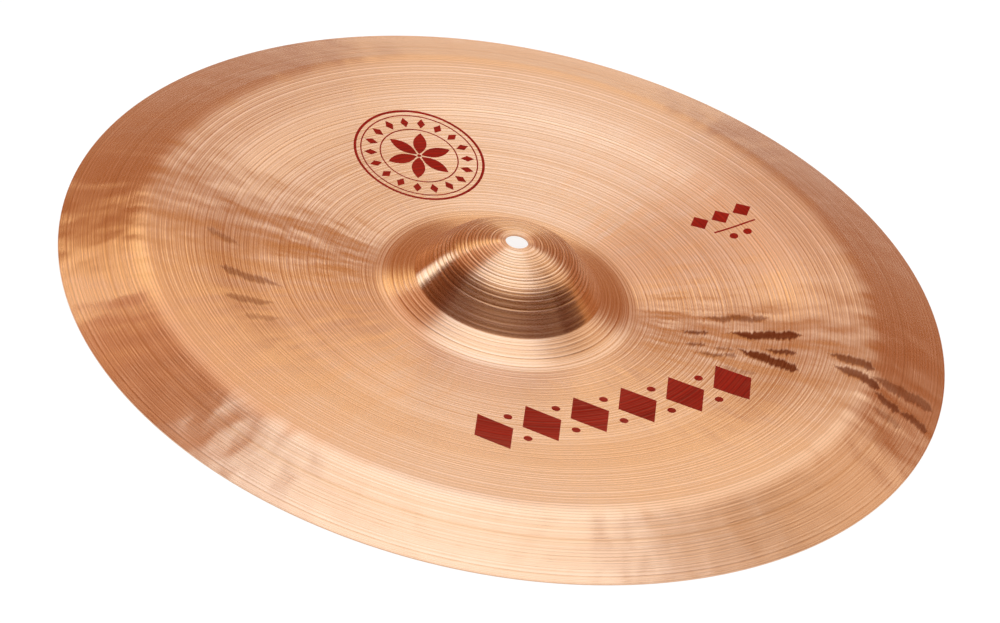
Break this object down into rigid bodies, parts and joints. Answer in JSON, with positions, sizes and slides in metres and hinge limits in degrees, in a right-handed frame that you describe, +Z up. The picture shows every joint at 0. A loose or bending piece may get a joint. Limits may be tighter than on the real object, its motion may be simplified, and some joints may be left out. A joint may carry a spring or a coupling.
{
  "type": "china cymbal",
  "caption": "Bronze china cymbal: raised bell with a centre hole, shallow dished bow and a wide rim turned down to the edge.",
  "frame": {"origin": "centre of the cymbal on the plane that its edge rests on", "axes": "+Z up along the axis of the hole, out of the top of the bell; +X and +Y in the plane of the edge"},
  "size_m": [0.508, 0.508, 0.0378],
  "materials": {
    "bronze": "turned and hammered cast bronze, fine concentric lathe grooves, semi-bright"
  },
  "bodies": {
    "root": {"cymbal": "bronze"}
  },
  "joints": []
}
